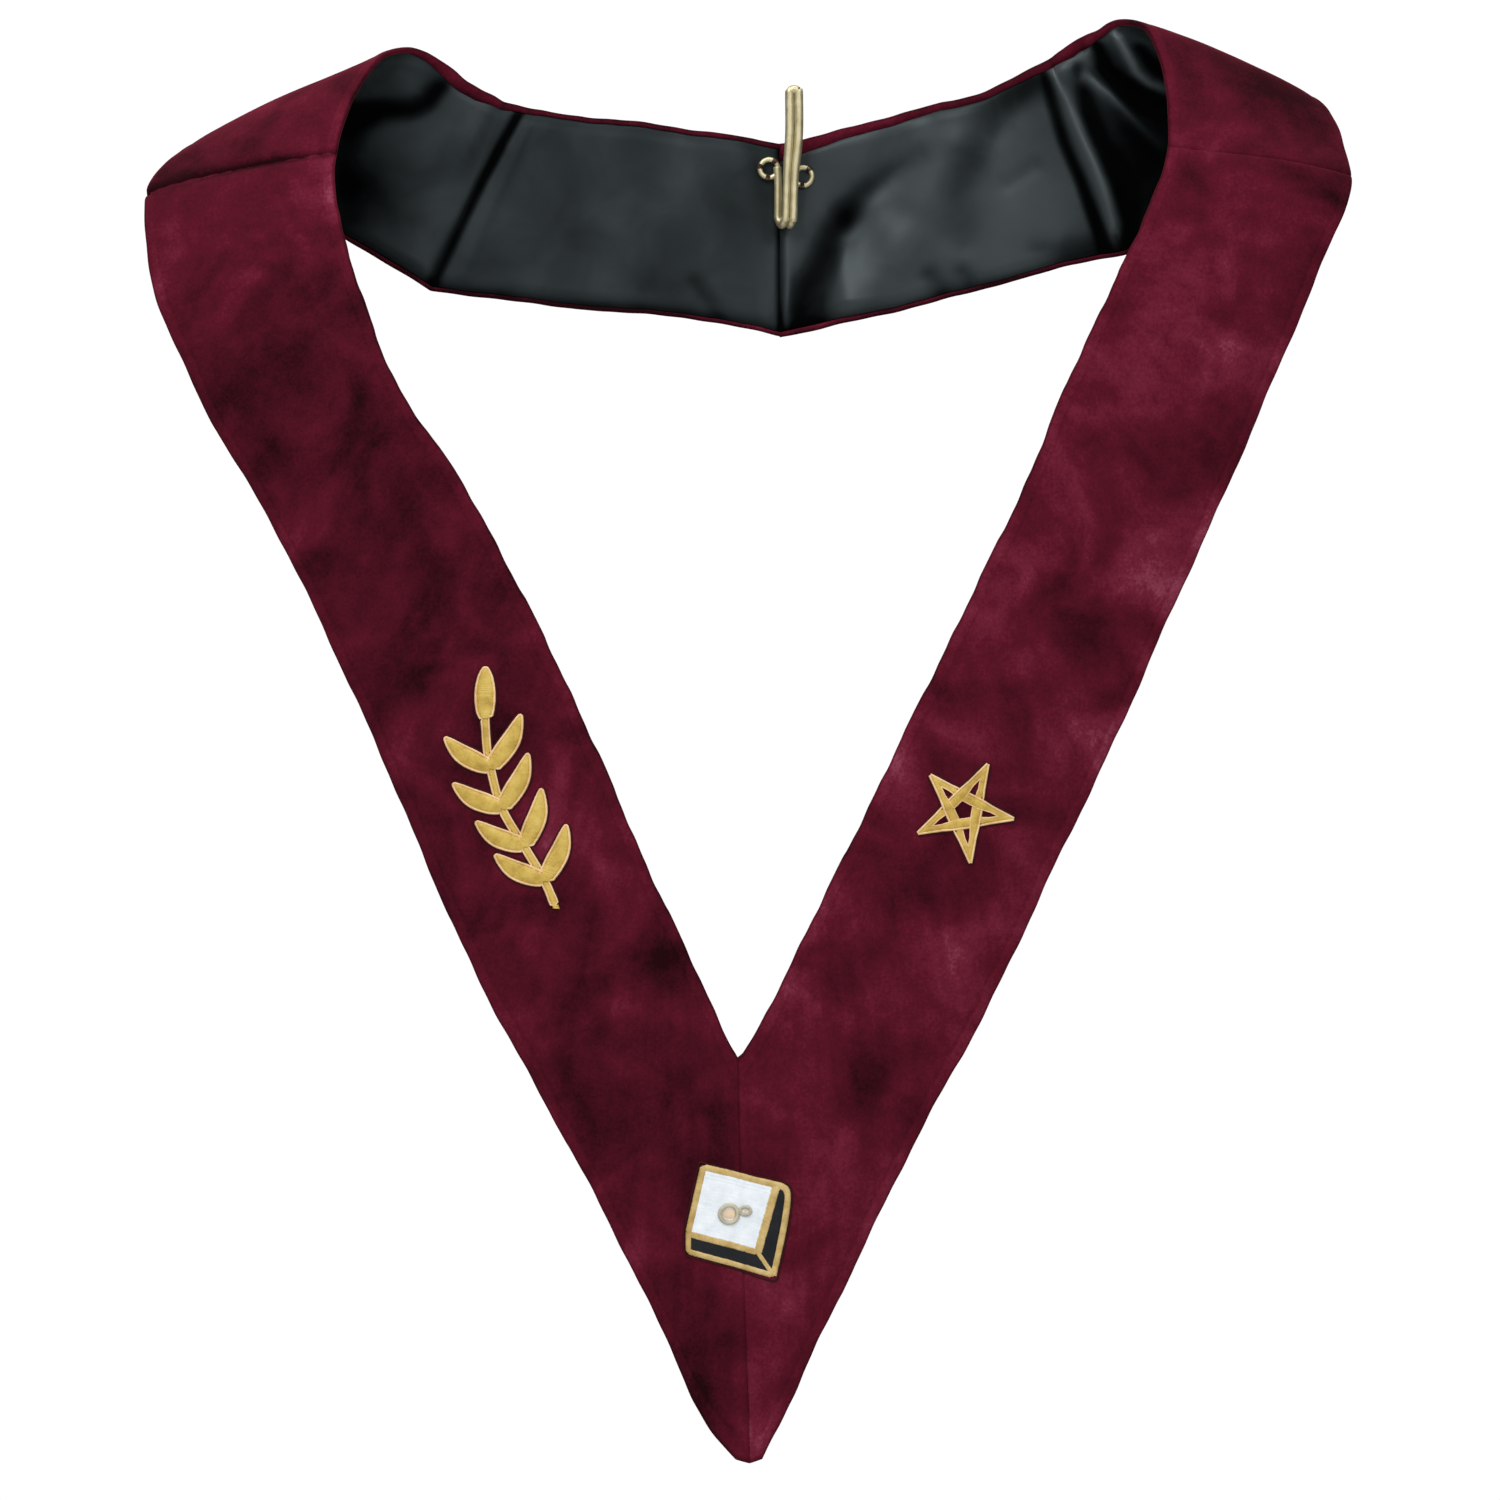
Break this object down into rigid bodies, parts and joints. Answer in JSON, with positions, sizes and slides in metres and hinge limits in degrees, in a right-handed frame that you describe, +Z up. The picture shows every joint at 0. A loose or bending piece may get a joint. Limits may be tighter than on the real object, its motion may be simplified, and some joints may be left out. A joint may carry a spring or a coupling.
{
  "type": "masonic collar",
  "caption": "Crimson velvet V collar lined with black satin, gold sprig and star on the bands, squared stone at the point, wire hook at the nape.",
  "frame": {"origin": "on the lining at the centre back of the neck, half way up the band", "axes": "+Z up as worn, +X to the right as seen from the front, the front of the collar and its embroidery face -Y"},
  "size_m": [0.6233, 0.1247, 0.741],
  "materials": {
    "velvet": "crimson cotton velvet with a short nap",
    "satin": "black satin with a soft sheen",
    "gold_thread": "gold satin stitch",
    "white_thread": "white satin stitch",
    "black_thread": "black satin stitch",
    "hook_metal": "pale gilt wire"
  },
  "bodies": {
    "root": {"velvet_front_left": "velvet", "velvet_front_right": "velvet", "velvet_shoulder_left": "velvet", "velvet_shoulder_right": "velvet", "velvet_back_left": "velvet", "velvet_back_right": "velvet", "lining_front_left": "satin", "lining_front_right": "satin", "lining_shoulder_left": "satin", "lining_shoulder_right": "satin", "lining_back_left": "satin", "lining_back_right": "satin", "sprig_embroidery": "gold_thread", "star_embroidery": "gold_thread", "stone_outline": "gold_thread", "stone_ring": "gold_thread", "stone_face": "white_thread", "stone_side_lower": "black_thread", "stone_side_right": "black_thread", "neck_hook": "hook_metal"}
  },
  "joints": []
}
